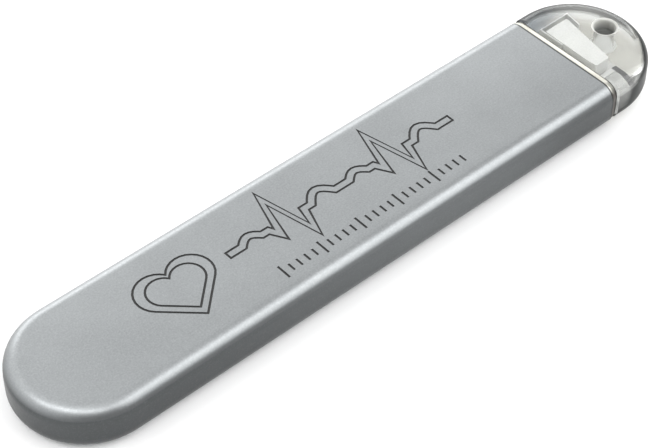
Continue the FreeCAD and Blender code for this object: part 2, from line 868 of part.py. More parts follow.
def capacitors():
    pitch = (board_half * 2 - s.part_margin * 2 - s.capacitor_length) / (CAPACITOR_COUNT - 1)
    members = []
    for i in range(CAPACITOR_COUNT):
        members.append(
            box_part(
                "capacitor_{}".format(i + 1),
                s.capacitor_width,
                s.capacitor_length,
                s.capacitor_height,
                capacitor_x,
                pitch * (i - (CAPACITOR_COUNT - 1) / 2),
                board_top,
            )
        )
    return group_part("capacitors", members)


def resistors():
    members = []
    for i in range(RESISTOR_COUNT):
        members.append(
            box_part(
                "resistor_{}".format(i + 1),
                s.resistor_width,
                s.resistor_length,
                s.resistor_height,
                board_middle + s.resistor_pitch * (i - (RESISTOR_COUNT - 1) / 2),
                s.resistor_margin + s.resistor_length / 2 - window_half,
                board_under - s.resistor_height,
            )
        )
    return group_part("resistors", members)


def desiccant_pad():
    return box_part(
        "desiccant_pad",
        s.desiccant_length,
        s.desiccant_width,
        s.desiccant_height,
        board_middle,
        window_half - s.desiccant_margin - s.desiccant_width / 2,
        board_under - s.desiccant_height,
    )


def bent_tab(label, y, high, start, bend, side, foot=None):
    """Ribbon that steps down from the level high to the board. It runs towards +X where side is 1.
    start is the end of its upper run and bend the edge of the board that it steps down at."""
    body = new_body(label)
    t = s.tab_thickness
    lean = t / 2 * side
    drop_end = bend + (high - board_top) * side
    landing = drop_end + s.tab_landing * side
    profile = new_sketch(body, "profile", "XZ_Plane", 0, 0, -as_size(y))
    points = [
        (start, high),
        (bend, high),
        (drop_end, board_top),
        (landing, board_top),
        (landing, board_top + t),
        (drop_end + lean, board_top + t),
        (bend + lean, high + t),
    ]
    if foot is None:
        points.append((start, high + t))
    else:
        points += [(start + t * side, high + t), (start + t * side, high + foot), (start, high + foot)]
    draw_polygon(profile, points)
    pad(body, profile, s.tab_width, midplane=True)
    return body


def positive_tab():
    return bent_tab("positive_tab", s.terminal_offset, tab_high, cell_end + s.lid_recess, board_start, 1)


def negative_tab():
    start = cell_end - s.lid_recess
    return bent_tab("negative_tab", -s.terminal_offset, tab_high, start, board_start, 1, foot=s.tab_foot)


def pin_ribbons():
    start = flange_face - s.fit_gap * 2
    members = []
    for side, word in ((-1, "near"), (1, "far")):
        members.append(bent_tab("pin_ribbon_" + word, pin_y * side, pin_top, start, board_end, -1))
    return group_part("pin_ribbons", members)


carrier = antenna_carrier()
strip = antenna_strip()
ribbon = electrode_ribbon()
electrode = header_electrode()
antenna_pin = feedthrough_pin("antenna_pin", 1)
electrode_pin = feedthrough_pin("electrode_pin", -1)

nodes = [
    half_shell("upper_shell", seam, s.upper_round, open_side_up=False),
    half_shell("lower_shell", zero, s.under_round, open_side_up=True),
    weld_band(),
    header_plate(),
    feedthrough_ferrule(),
    feedthrough_insulator(),
    feedthrough_brazes(),
    antenna_pin,
    electrode_pin,
    carrier,
    strip,
    ribbon,
    electrode,
    header_body([carrier, strip, ribbon, electrode, antenna_pin, electrode_pin]),
    battery(),
    film_sleeve("battery_film", can_tip + half_width, cell_end),
    battery_seal(),
    battery_terminal(),
    battery_fill_plug(),
    positive_tab(),
    negative_tab(),
    electronics_frame(),
    film_sleeve("electronics_film", frame_start, frame_end),
    circuit_board(),
    capacitors(),
    resistors(),
    desiccant_pad(),
    pin_ribbons(),
]
nodes += [board_part(name) for name in BOARD_PARTS]

doc.recompute()
for item in doc.Objects:
    if "Invalid" in item.State or "Error" in item.State:
        raise RuntimeError("{} failed to build".format(item.Label))
for node in nodes:
    if node.Shape.isNull() or not node.Shape.isValid():
        raise RuntimeError("{} has no valid shape".format(node.Label))

os.makedirs("parts", exist_ok=True)
for node in nodes:
    node.Shape.exportStep("parts/{}.step".format(node.Label))
    print("{:24s} {:3d} solids {:9.3f} mm3".format(node.Label, len(node.Shape.Solids), node.Shape.Volume))
print("{} nodes".format(len(nodes)))
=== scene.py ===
import json
import math

import bmesh
import bpy
from mathutils import Matrix, Vector


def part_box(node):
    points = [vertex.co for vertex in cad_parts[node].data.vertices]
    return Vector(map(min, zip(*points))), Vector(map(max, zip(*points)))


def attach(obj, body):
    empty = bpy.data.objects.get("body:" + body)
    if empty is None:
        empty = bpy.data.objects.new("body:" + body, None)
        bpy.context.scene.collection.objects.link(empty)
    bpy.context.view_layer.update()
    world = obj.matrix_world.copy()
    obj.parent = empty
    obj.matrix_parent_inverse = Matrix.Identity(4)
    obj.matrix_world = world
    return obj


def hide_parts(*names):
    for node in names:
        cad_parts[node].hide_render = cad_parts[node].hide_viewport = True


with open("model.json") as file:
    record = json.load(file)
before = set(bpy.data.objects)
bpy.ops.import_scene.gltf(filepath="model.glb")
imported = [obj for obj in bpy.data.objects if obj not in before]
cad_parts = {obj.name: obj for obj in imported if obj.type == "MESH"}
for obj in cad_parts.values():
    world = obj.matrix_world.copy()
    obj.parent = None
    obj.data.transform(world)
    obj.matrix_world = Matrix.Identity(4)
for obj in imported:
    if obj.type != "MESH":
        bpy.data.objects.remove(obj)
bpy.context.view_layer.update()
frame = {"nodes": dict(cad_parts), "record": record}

MM = 0.001
nodes = frame["nodes"]


# Places read from the CAD pieces, in millimetres. X runs towards the header's tip, Y across and Z up.


def mm_box(node):
    low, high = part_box(node)
    return low / MM, high / MM


header_low, header_high = mm_box("header_body")
TOP = header_high.z
HALF = header_high.y
TIP = header_high.x
JOINT = header_low.x
CAN_END = mm_box("upper_shell")[1].x


# Mesh helpers. Sizes are in millimetres and become metres when the mesh is made.


def add_object(name, data):
    thing = bpy.data.objects.new(name, data)
    bpy.context.scene.collection.objects.link(thing)
    return thing


def new_piece(name, verts, faces):
    mesh = bpy.data.meshes.new(name)
    mesh.from_pydata([Vector(v) * MM for v in verts], [], faces)
    bm = bmesh.new()
    bm.from_mesh(mesh)
    bmesh.ops.recalc_face_normals(bm, faces=bm.faces)
    bm.to_mesh(mesh)
    bm.free()
    return add_object(name, mesh)


def cad_copy(node, name):
    """A new object with a copy of a CAD piece's mesh, in which faces that meet share their corners."""
    mesh = nodes[node].data.copy()
    bm = bmesh.new()
    bm.from_mesh(mesh)
    bmesh.ops.remove_doubles(bm, verts=bm.verts, dist=1e-6)
    bm.to_mesh(mesh)
    bm.free()
    return add_object(name, mesh)


def smooth(mesh, angle):
    """Smooths the faces and keeps an edge sharp where they turn by the angle, in degrees, or more."""
    bm = bmesh.new()
    bm.from_mesh(mesh)
    limit = math.radians(angle)
    for edge in bm.edges:
        if len(edge.link_faces) == 2:
            edge.smooth = edge.calc_face_angle(0) < limit
    for face in bm.faces:
        face.smooth = True
    bm.to_mesh(mesh)
    bm.free()


def cut(piece, cutter):
    """Cuts one mesh out of another and removes the cutter, whose material stays on the cut faces."""
    tool = piece.modifiers.new("cut", "BOOLEAN")
    tool.operation = "DIFFERENCE"
    tool.solver = "EXACT"
    tool.material_mode = "TRANSFER"
    tool.object = cutter
    bpy.context.view_layer.update()
    graph = bpy.context.evaluated_depsgraph_get()
    mesh = bpy.data.meshes.new_from_object(piece.evaluated_get(graph), depsgraph=graph)
    piece.modifiers.clear()
    piece.data = mesh
    bpy.data.objects.remove(cutter)


def arc(cx, cz, radius, start, stop, steps):
    """Points on an arc between two angles in degrees, in the section plane, each with its outward normal."""
    out = []
    for i in range(steps + 1):
        a = math.radians(start + (stop - start) * i / steps)
        out.append(((cx + radius * math.cos(a), cz + radius * math.sin(a)), (math.cos(a), math.sin(a))))
    return out


# Materials. Their places are in millimetres too, and a noise scale counts features per millimetre.


class Shader:
    """A material's node tree, with short calls for the nodes that are used here."""

    def __init__(self, name):
        self.material = bpy.data.materials.new(name)
        self.material.use_nodes = True
        self.tree = self.material.node_tree
        self.tree.nodes.clear()
        self.output = self.add("OutputMaterial")
        self.bsdf = self.add("BsdfPrincipled")
        self.feed(self.output.inputs["Surface"], self.bsdf.outputs[0])
        scale = self.add("VectorMath", "SCALE")
        self.feed(scale.inputs[0], self.add("TexCoord").outputs["Object"])
        self.feed(scale.inputs["Scale"], 1 / MM)
        self.place = scale.outputs[0]

    def add(self, kind, operation=None):
        node = self.tree.nodes.new("ShaderNode" + kind)
        if operation is not None:
            node.operation = operation
        return node

    def feed(self, socket, value):
        """Links an output to a socket, or sets the socket to a number or a colour."""
        if isinstance(value, bpy.types.NodeSocket):
            self.tree.links.new(value, socket)
        elif socket.type == "RGBA":
            socket.default_value = (*value, 1)
        else:
            socket.default_value = value

    def set(self, **values):
        """Sets or links inputs of the main shader, by their names with underscores in place of spaces."""
        for key, value in values.items():
            self.feed(self.bsdf.inputs[key.replace("_", " ")], value)

    def stretch(self, x, y, z):
        """The place with each coordinate multiplied."""
        node = self.add("VectorMath", "MULTIPLY")
        self.feed(node.inputs[0], self.place)
        self.feed(node.inputs[1], (x, y, z))
        return node.outputs[0]

    def noise(self, scale, detail=2, rough=0.5, where=None):
        node = self.add("TexNoise")
        self.feed(node.inputs["Scale"], scale)
        self.feed(node.inputs["Detail"], detail)
        self.feed(node.inputs["Roughness"], rough)
        self.feed(node.inputs["Vector"], where or self.place)
        return node.outputs["Fac"]

    def along(self, axis):
        """A coordinate of the place."""
        split = self.add("SeparateXYZ")
        self.feed(split.inputs[0], self.place)
        return split.outputs[axis]

    def facing(self, axis):
        """How far the surface faces along an axis, to either side: 1 straight along it and 0 across it."""
        split = self.add("SeparateXYZ")
        self.feed(split.inputs[0], self.add("NewGeometry").outputs["Normal"])
        return self.calc("ABSOLUTE", split.outputs[axis], 0.0)

    def behind(self):
        """1 where the surface is seen from its inner side, and 0 elsewhere."""
        return self.add("NewGeometry").outputs["Backfacing"]

    def calc(self, operation, first, second):
        node = self.add("Math", operation)
        self.feed(node.inputs[0], first)
        self.feed(node.inputs[1], second)
        return node.outputs[0]

    def ramp(self, value, low, high, out_low, out_high):
        """Runs from out_low to out_high while the value runs from low to high, and is level past them."""
        node = self.add("MapRange")
        self.feed(node.inputs["Value"], value)
        self.feed(node.inputs["From Min"], low)
        self.feed(node.inputs["From Max"], high)
        self.feed(node.inputs["To Min"], out_low)
        self.feed(node.inputs["To Max"], out_high)
        return node.outputs["Result"]

    def blend(self, share, first, second):
        """A colour from the first at a share of 0 to the second at 1."""
        node = self.add("Mix")
        node.data_type = "RGBA"
        self.feed(node.inputs["Factor"], share)
        for name, colour in (("A", first), ("B", second)):
            self.feed(next(s for s in node.inputs if s.name == name and s.type == "RGBA"), colour)
        return next(s for s in node.outputs if s.type == "RGBA")

    def bump(self, height, distance, strength):
        node = self.add("Bump")
        self.feed(node.inputs["Distance"], distance * MM)
        self.feed(node.inputs["Strength"], strength)
        self.feed(node.inputs["Height"], height)
        self.set(Normal=node.outputs[0])

    def mix(self, share, second):
        """Blends the surface made so far with a second shader."""
        node = self.add("MixShader")
        surface = self.output.inputs["Surface"]
        self.feed(node.inputs["Fac"], share)
        self.feed(node.inputs[1], surface.links[0].from_socket)
        self.feed(node.inputs[2], second.outputs[0])
        self.feed(surface, node.outputs[0])

    def pass_light(self):
        """Lets lamp light through to what stands behind, with a little loss."""
        through = self.add("BsdfTransparent")
        self.feed(through.inputs["Color"], (0.93, 0.94, 0.93))
        self.mix(self.add("LightPath").outputs["Is Shadow Ray"], through)

    def dark_edge(self, inner_share):
        """Turns the resin dark where light would bend away at its edge.

        From outside this is where the rounded edges and the wall are seen slantwise. From inside it is any
        slant view of them, at the inner share. The flat faces stay clear.
        """
        rim = self.add("LayerWeight")
        self.feed(rim.inputs["Blend"], 0.5)
        slant = rim.outputs["Facing"]
        behind = self.behind()
        level = self.facing("Z")
        not_wall = self.ramp(level, 0.05, 0.3, 0, 1)
        rounding = self.calc("MULTIPLY", self.ramp(slant, 0.38, 0.53, 0, 1), not_wall)
        outer = self.calc("MAXIMUM", rounding, self.ramp(slant, 0.45, 0.6, 0, 1))
        outer = self.calc("MULTIPLY", outer, self.ramp(behind, 0, 1, 1, 0))
        inner = self.calc("MULTIPLY", self.ramp(slant, 0.28, 0.5, 0, inner_share), behind)
        not_flat = self.ramp(level, 0.86, 0.97, 1, 0)
        share = self.calc("MULTIPLY", self.calc("ADD", outer, inner), not_flat)
        dark = self.add("BsdfPrincipled")
        self.feed(dark.inputs["Base Color"], (0.02, 0.022, 0.021))
        self.feed(dark.inputs["Roughness"], 0.3)
        self.feed(dark.inputs["Specular IOR Level"], 0.1)
        self.mix(share, dark)


BLACK = (0, 0, 0)
WHITE = (1, 1, 1)


def shade(colour, factor):
    return tuple(c * factor for c in colour)


def blasted_titanium():
    """Blasted metal with a fine grain, mostly on the flat faces, and a side wall darkened by painted shade.

    The wall's painted shade deepens towards the rounded end and a little towards the joint. A dark weld line
    runs round the open end.
    """
    face_tone = (0.375, 0.392, 0.4)
    # The wall tone is painted shade: the same blasted metal as the face, set darker for the side.
    painted_shade_wall_tone = (0.134, 0.142, 0.145)
    rough = 0.36
    s = Shader("blasted_titanium")
    broad = s.noise(0.25, 3)
    grain = s.noise(9.0, 4, 0.65)
    pits = s.noise(5.0, 2, 0.5)
    flat = s.facing("Z")
    # Painted shade: the wall tone darkens towards the rounded end and a little towards the joint.
    wall = s.blend(s.ramp(s.along("X"), -17, 1, 0, 1), shade(painted_shade_wall_tone, 0.66), shade(painted_shade_wall_tone, 1.05))
    wall = s.blend(s.ramp(s.along("X"), 9, 16, 0, 0.25), wall, BLACK)
    # Painted shade: the side wall takes the darker tone and the flat face the lit one.
    tone = s.blend(s.ramp(flat, 0.35, 0.85, 0, 1), wall, face_tone)
    tone = s.blend(s.ramp(broad, 0.35, 0.65, 0.06, 0), tone, BLACK)
    dark_spots = s.calc("MULTIPLY", s.ramp(grain, 0.36, 0.5, 0.11, 0), s.ramp(flat, 0.5, 1, 0.3, 1))
    light_spots = s.calc("MULTIPLY", s.ramp(grain, 0.52, 0.66, 0, 0.07), s.ramp(flat, 0.5, 1, 0.3, 1))
    tone = s.blend(dark_spots, tone, (0.05, 0.05, 0.05))
    tone = s.blend(light_spots, tone, WHITE)
    weld_line = s.ramp(s.along("X"), CAN_END - 0.13, CAN_END - 0.09, 0, 0.85)
    s.set(
        Metallic=1.0,
        Base_Color=s.blend(weld_line, tone, (0.05, 0.05, 0.048)),
        Roughness=s.ramp(pits, 0.3, 0.7, rough - 0.03, rough + 0.04),
    )
    s.bump(grain, 0.008, 0.3)
    return s.material


def engraved_line():
    """Floor and walls of an engraved groove, darkened by the laser."""
    s = Shader("engraved_line")
    burn = s.noise(14.0, 3, 0.6)
    s.set(
        Metallic=0.8,
        Base_Color=s.blend(burn, (0.03, 0.031, 0.031), (0.08, 0.08, 0.078)),
        Roughness=s.ramp(burn, 0.3, 0.7, 0.5, 0.65),
    )
    s.bump(burn, 0.004, 0.5)
    return s.material


def machined_titanium():
    """Turned rim, bright above and darker down its two sides as painted shade, with a thin dark line of
    painted shade in the crease where its bevel ends.

    The end face, which is seen through the resin, is duller.
    """
    s = Shader("machined_titanium")
    lines = s.noise(1.0, 3, 0.6, s.stretch(40, 0.4, 0.4))
    stain = s.noise(1.6, 3, 0.6)
    bright = s.blend(s.ramp(stain, 0.55, 0.72, 0, 0.8), (0.69, 0.685, 0.62), (0.58, 0.55, 0.47))
    dark = s.blend(lines, (0.09, 0.082, 0.074), (0.13, 0.12, 0.11))
    # Painted shade: the rim's two sides take the dark tone and its top the bright one.
    tone = s.blend(s.ramp(s.facing("Y"), 0.5, 0.85, 0, 1), bright, dark)
    end = s.facing("X")
    # Painted shade: a thin dark line in the crease where the bevel meets the header.
    near_joint = s.ramp(s.along("X"), JOINT - 0.09, JOINT - 0.05, 0, 0.85)
    crease_shade_line = s.calc("MULTIPLY", near_joint, s.ramp(end, 0.6, 0.9, 1, 0))
    s.set(
        Base_Color=s.blend(crease_shade_line, tone, (0.05, 0.048, 0.045)),
        Metallic=s.ramp(end, 0.6, 0.9, 1, 0.2),
        Roughness=s.calc("ADD", s.ramp(lines, 0.3, 0.7, 0.3, 0.42), s.ramp(end, 0.6, 0.9, 0, 0.2)),
    )
    s.bump(lines, 0.002, 0.5)
    return s.material


def clear_epoxy():
    """Cast resin: clear above and greyer at its underside and down its wall as painted shade, with a light
    cloud and ripple.

    Its far corner at the joint is grey, and its edges are dark where light would bend away.
    """
    s = Shader("clear_epoxy")
    cloud = s.noise(0.8, 3, 0.6)
    flat = s.facing("Z")
    # Painted shade: the resin is greyer at its underside and down its wall.
    body = s.blend(s.ramp(s.along("Z"), 0.2, 0.9, 0, 1), (0.43, 0.415, 0.375), (0.9, 0.915, 0.905))
    body = s.blend(s.ramp(flat, 0.3, 0.8, 0.8, 0), body, (0.64, 0.65, 0.635))
    body = s.blend(s.ramp(cloud, 0.4, 0.7, 0, 0.12), body, (0.3, 0.31, 0.3))
    near_joint = s.ramp(s.along("X"), JOINT + 1.6, JOINT + 3.1, 0.75, 0)
    corner = s.calc("MULTIPLY", near_joint, s.ramp(s.along("Y"), 2.2, 3.0, 0, 1))
    s.set(
        Roughness=0.03,
        IOR=1.5,
        Specular_IOR_Level=0.2,
        Base_Color=s.blend(corner, body, (0.22, 0.25, 0.285)),
        Transmission_Weight=s.ramp(flat, 0.2, 0.8, 0.62, 0.9),
    )
    s.bump(s.noise(0.9, 2, 0.5), 0.03, 0.5)
    s.dark_edge(0.7)
    s.pass_light()
    return s.material


def drilled_epoxy():
    """Wall of the suture hole.

    Seen from the hole it is matt and grey, darker lower down and in a band as painted shade, with a pale
    rim.
    Through the resin it is faint.
    """
    s = Shader("drilled_epoxy")
    behind = s.behind()
    marks = s.noise(1.0, 2, 0.5, s.stretch(1, 1, 12))
    level = s.along("Z")
    # Painted shade in the hole: a dark band, and a darker tone lower down.
    band = s.calc("MULTIPLY", s.ramp(level, 1.1, 1.6, 0, 1), s.ramp(level, 2.35, 3.0, 1, 0))
    band = s.calc("MULTIPLY", band, s.ramp(marks, 0.3, 0.7, 0.85, 1))
    pale = s.blend(s.ramp(level, 1.2, 2.4, 0, 1), (0.31, 0.305, 0.28), (0.5, 0.5, 0.47))
    wall = s.blend(band, pale, (0.06, 0.062, 0.06))
    wall = s.blend(s.ramp(level, 3.01, 3.07, 0, 1), wall, (0.8, 0.8, 0.77))
    s.set(
        Roughness=0.35,
        IOR=1.03,
        Base_Color=s.blend(behind, wall, (0.88, 0.88, 0.86)),
        Transmission_Weight=s.ramp(behind, 0, 1, 0.45, 0.98),
    )
    s.bump(marks, 0.01, 0.4)
    s.pass_light()
    return s.material


def dark_ribbon():
    """Ribbon that is bare near its pin and coated dark along its outer arm."""
    s = Shader("dark_ribbon")
    fine = s.noise(8.0, 3)
    arm = s.ramp(s.along("X"), JOINT + 1.5, JOINT + 1.6, 0, 1)
    bare = s.blend(fine, (0.66, 0.66, 0.65), (0.74, 0.74, 0.73))
    coated = s.blend(fine, (0.055, 0.055, 0.058), (0.08, 0.08, 0.083))
    s.set(
        Metallic=1.0,
        Base_Color=s.blend(arm, bare, coated),
        Roughness=s.ramp(fine, 0.3, 0.7, 0.32, 0.42),
    )
    s.bump(fine, 0.002, 0.5)
    return s.material


def plain(name, colour, rough, metal):
    """One colour with a fine mottle and a slightly uneven sheen."""
    s = Shader(name)
    fine = s.noise(8.0, 3)
    s.set(
        Metallic=metal,
        Base_Color=s.blend(s.ramp(fine, 0.3, 0.7, 0, 1), shade(colour, 0.88), colour),
        Roughness=s.ramp(s.noise(8.0 / 3, 2), 0.3, 0.7, rough - 0.05, rough + 0.05),
    )
    s.bump(fine, 0.002, 0.5)
    return s.material


# Colour, roughness and share of metal of the plain materials.

PLAIN = {
    "white_ceramic": ((0.9, 0.89, 0.86), 0.5, 0),
    "gold": ((0.83, 0.66, 0.3), 0.25, 1),
    "pin_metal": ((0.7, 0.7, 0.71), 0.25, 1),
    "white_plastic": ((0.73, 0.73, 0.715), 0.45, 0),
    "ribbon_metal": ((0.88, 0.88, 0.87), 0.45, 1),
    "electrode_coating": ((0.6, 0.6, 0.585), 0.5, 0.6),
    "battery_steel": ((0.6, 0.6, 0.61), 0.3, 1),
    "amber_film": ((0.75, 0.45, 0.12), 0.25, 0),
    "seal_glass": ((0.12, 0.2, 0.28), 0.1, 0),
    "ivory_plastic": ((0.86, 0.83, 0.74), 0.45, 0),
    "board_green": ((0.07, 0.3, 0.16), 0.35, 0),
    "tan_ceramic": ((0.62, 0.5, 0.36), 0.5, 0),
    "black_ceramic": ((0.05, 0.05, 0.05), 0.4, 0),
    "chip_black": ((0.04, 0.04, 0.045), 0.45, 0),
    "crystal_can": ((0.75, 0.75, 0.76), 0.2, 1),
    "grey_ceramic": ((0.25, 0.25, 0.26), 0.5, 0),
}
MATERIALS = {name: plain(name, *look) for name, look in PLAIN.items()}
MATERIALS["blasted_titanium"] = blasted_titanium()
MATERIALS["machined_titanium"] = machined_titanium()
MATERIALS["clear_epoxy"] = clear_epoxy()
MATERIALS["dark_ribbon"] = dark_ribbon()
groove_metal = engraved_line()
hole_wall = drilled_epoxy()

for entry in frame["record"]["subparts"]:
    thing = nodes[entry["node"]]
    thing.data.materials.clear()
    thing.data.materials.append(MATERIALS[entry["material_slot"]])


# Clear header: the casting's outer form with its suture hole. The pieces it was cast round stand inside it.

UPPER_ROUND = 0.95
UNDER_ROUND = 1.05
ROUND_STEPS = 16
NOSE_STEPS = 64
SEAT = 0.01
JOINT_BREAK = 0.13
HOLE_X = TIP - 2.05
HOLE_RADIUS = 0.7
HOLE_RIM = 0.2
HOLE_RIM_STEPS = 8
HOLE_STEPS = 64
HOLE_PAST = 0.2


def header_profile():
    under = arc(-UNDER_ROUND, UNDER_ROUND, UNDER_ROUND, -90, 0, ROUND_STEPS)
    upper = arc(-UPPER_ROUND, TOP - UPPER_ROUND, UPPER_ROUND, 0, 90, ROUND_STEPS)
    return under + upper


def header_mesh():
    """The profile swept along one side, round the tip and back, with a broken edge at the joint.

    A station holds its place along the capsule, the way outward across it and how far the profile is inset.
    """
    profile = header_profile()
    stations = [(JOINT - SEAT, 0, -1, JOINT_BREAK), (JOINT + JOINT_BREAK, 0, -1, 0)]
    for i in range(NOSE_STEPS + 1):
        a = math.radians(-90 + 180 * i / NOSE_STEPS)
        stations.append((TIP - HALF, math.cos(a), math.sin(a), 0))
    stations += [(JOINT + JOINT_BREAK, 0, 1, 0), (JOINT - SEAT, 0, 1, JOINT_BREAK)]
    verts = []
    for x, ux, uy, inset in stations:
        for (d, z), (nx, nz) in profile:
            reach = HALF + d - inset * nx
            verts.append((x + ux * reach, uy * reach, z - inset * nz))
    rows = len(profile)
    count = len(stations)
    faces = []
    for i in range(count - 1):
        for j in range(rows - 1):
            a = i * rows + j
            faces.append((a, a + rows, a + rows + 1, a + 1))
    faces.append(tuple(i * rows for i in range(count)))
    faces.append(tuple(i * rows + rows - 1 for i in reversed(range(count))))
    faces.append(tuple(range(rows)) + tuple((count - 1) * rows + j for j in reversed(range(rows))))
    return verts, faces


def lathe(rings, steps, x, y):
    """A closed turned form from (radius, height) pairs, from the lowest to the highest."""
    verts = []
    for radius, z in rings:
        for i in range(steps):
            a = 2 * math.pi * i / steps
            verts.append((x + radius * math.cos(a), y + radius * math.sin(a), z))
    faces = []
    for j in range(len(rings) - 1):
        for i in range(steps):
            k = (i + 1) % steps
            faces.append((j * steps + i, j * steps + k, (j + 1) * steps + k, (j + 1) * steps + i))
    faces.append(tuple(reversed(range(steps))))
    faces.append(tuple((len(rings) - 1) * steps + i for i in range(steps)))
    return verts, faces


def hole_rings():
    """The suture hole's section, rounded outward at both faces."""
    mouth = HOLE_RADIUS + HOLE_RIM
    rings = [(mouth, -HOLE_PAST)]
    turns = [math.radians(90 * i / HOLE_RIM_STEPS) for i in range(HOLE_RIM_STEPS + 1)]
    for a in turns:
        rings.append((mouth - HOLE_RIM * math.sin(a), HOLE_RIM - HOLE_RIM * math.cos(a)))
    for a in reversed(turns):
        rings.append((mouth - HOLE_RIM * math.sin(a), TOP - HOLE_RIM + HOLE_RIM * math.cos(a)))
    rings.append((mouth, TOP + HOLE_PAST))
    return rings


def clear_header():
    header = new_piece("clear_header", *header_mesh())
    header.data.materials.append(MATERIALS["clear_epoxy"])
    hole = new_piece("hole_cutter", *lathe(hole_rings(), HOLE_STEPS, HOLE_X, 0))
    hole.data.materials.append(hole_wall)
    cut(header, hole)
    smooth(header.data, 35)
    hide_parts("header_body")
    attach(header, "root")


clear_header()


# Engraving on the upper face: a heart, a pulse trace and a plain scale of strokes, cut as shallow grooves.
# A beat is a small rise, straight lines between points, and a larger rise. BEAT_STARTS are shares of the
# trace's length, and places in a beat are counted from its start.

GROOVE_WIDTH = 0.145
GROOVE_DEPTH = 0.035
GROOVE_PAST = 0.1
CORNER_LIMIT = 2.4
HEART_X = -12.9
HEART_LEVEL = 0.75
HEART_INNER_SHARE = 0.74
HEART_TIP = Vector((0, -3.1))
HEART_MIDDLE = Vector((0, -0.6))
LOBE_RADIUS = 1.45
LOBE_ASIDE = 1.2
LOBE_STEPS = 14
TRACE_START = -9.2
TRACE_END = 8.7
TRACE_HALF_WIDTH = 0.26
TRACE_LEVEL = 0.35
BEAT_STARTS = (0.06, 0.53)
BEAT_POINTS = ((2.0, 0), (2.4, -0.7), (3.3, 2.35), (4.2, -1.75), (4.75, 0))
SMALL_RISE = (1.5, 0.45)
LARGE_RISE = (1.9, 0.75)
LARGE_RISE_AFTER = 5.35
RISE_STEPS = 8
SCALE_START = TRACE_START + 1.6
SCALE_LEVEL = -2.75
SCALE_STEP = 0.6
SCALE_STROKES = 25
LONG_STROKE_EVERY = 5
LONG_STROKE = 1.1
SHORT_STROKE = 0.6


def offsets(points, half, closed):
    """Points beside a line, at half a width to its left and to its right, with limited corners."""
    count = len(points)
    left, right = [], []
    for i, (x, y) in enumerate(points):
        before = points[i - 1] if i > 0 or closed else None
        after = points[(i + 1) % count] if i < count - 1 or closed else None
        normals = []
        for a, b in ((before, (x, y)), ((x, y), after)):
            if a is not None and b is not None:
                way = Vector((b[0] - a[0], b[1] - a[1])).normalized()
                normals.append(Vector((-way.y, way.x)))
        middle = sum(normals, Vector((0, 0))).normalized()
        reach = min(half / max(middle.dot(normals[0]), 0.1), half * CORNER_LIMIT)
        left.append((x + middle.x * reach, y + middle.y * reach))
        right.append((x - middle.x * reach, y - middle.y * reach))
    return left, right


def groove_ring(points):
    """Prism over a closed line, as wide as a groove."""
    left, right = offsets(points, GROOVE_WIDTH / 2, True)
    verts = []
    for z in (TOP - GROOVE_DEPTH, TOP + GROOVE_PAST):
        verts += [(x, y, z) for x, y in left + right]
    count = len(points)
    low_left, low_right, high_left, high_right = (count * i for i in range(4))
    walls = ((low_left, low_right), (low_right, high_right), (high_right, high_left), (high_left, low_left))
    faces = []
    for i in range(count):
        k = (i + 1) % count
        for a, b in walls:
            faces.append((a + i, b + i, b + k, a + k))
    return verts, faces


def groove_stroke(x, y, length):
    """Prism over a short straight stroke across the face."""
    w = GROOVE_WIDTH / 2
    h = length / 2
    verts = []
    for z in (TOP - GROOVE_DEPTH, TOP + GROOVE_PAST):
        verts += [(x - w, y - h, z), (x + w, y - h, z), (x + w, y + h, z), (x - w, y + h, z)]
    faces = [(3, 2, 1, 0), (4, 5, 6, 7)]
    for i in range(4):
        k = (i + 1) % 4
        faces.append((i, k, 4 + k, 4 + i))
    return verts, faces


def heart_line(share):
    """Closed heart of two lobes and two straight sides, upright along Y, at a share of the full size."""
    lobe = Vector((LOBE_ASIDE, 0))
    to_tip = HEART_TIP - lobe
    start = math.atan2(to_tip.y, to_tip.x) + math.acos(LOBE_RADIUS / to_tip.length)
    stop = math.atan2(math.sqrt(LOBE_RADIUS ** 2 - LOBE_ASIDE ** 2), -LOBE_ASIDE)
    right = []
    for i in range(LOBE_STEPS + 1):
        a = start + (stop - start) * i / LOBE_STEPS
        right.append(lobe + Vector((math.cos(a), math.sin(a))) * LOBE_RADIUS)
    left = [Vector((-p.x, p.y)) for p in reversed(right[:-1])]
    points = [HEART_MIDDLE + (p - HEART_MIDDLE) * share for p in [HEART_TIP] + right + left]
    return [(HEART_X + p.x, p.y + HEART_LEVEL) for p in points]


def rise(start, width, height):
    """A rounded rise of the trace."""
    out = []
    for i in range(RISE_STEPS + 1):
        out.append((start + width * i / RISE_STEPS, height * math.sin(math.pi * i / RISE_STEPS)))
    return out


def trace_line():
    """Centre line of a pulse trace with two beats."""
    points = [(TRACE_START, 0)]
    for beat in BEAT_STARTS:
        at = TRACE_START + beat * (TRACE_END - TRACE_START)
        points += rise(at, *SMALL_RISE)
        points += [(at + x, y) for x, y in BEAT_POINTS]
        points += rise(at + LARGE_RISE_AFTER, *LARGE_RISE)
    points.append((TRACE_END, 0))
    return [(x, y + TRACE_LEVEL) for x, y in points]


def engraving():
    """All the grooves as one mesh."""
    left, right = offsets(trace_line(), TRACE_HALF_WIDTH, False)
    rings = (heart_line(1), heart_line(HEART_INNER_SHARE), left + right[::-1])
    parts = [groove_ring(line) for line in rings]
    for i in range(SCALE_STROKES):
        length = SHORT_STROKE if i % LONG_STROKE_EVERY else LONG_STROKE
        parts.append(groove_stroke(SCALE_START + i * SCALE_STEP, SCALE_LEVEL, length))
    verts, faces = [], []
    for more_verts, more_faces in parts:
        start = len(verts)
        verts += more_verts
        faces += [tuple(start + i for i in face) for face in more_faces]
    return verts, faces


def engraved_shell():
    """The upper shell as it was made in CAD, with the engraving cut into its face."""
    shell = cad_copy("upper_shell", "engraved_shell")
    cutter = new_piece("engraving", *engraving())
    cutter.data.materials.append(groove_metal)
    cut(shell, cutter)
    smooth(shell.data, 30)
    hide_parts("upper_shell")
    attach(shell, "root")


engraved_shell()


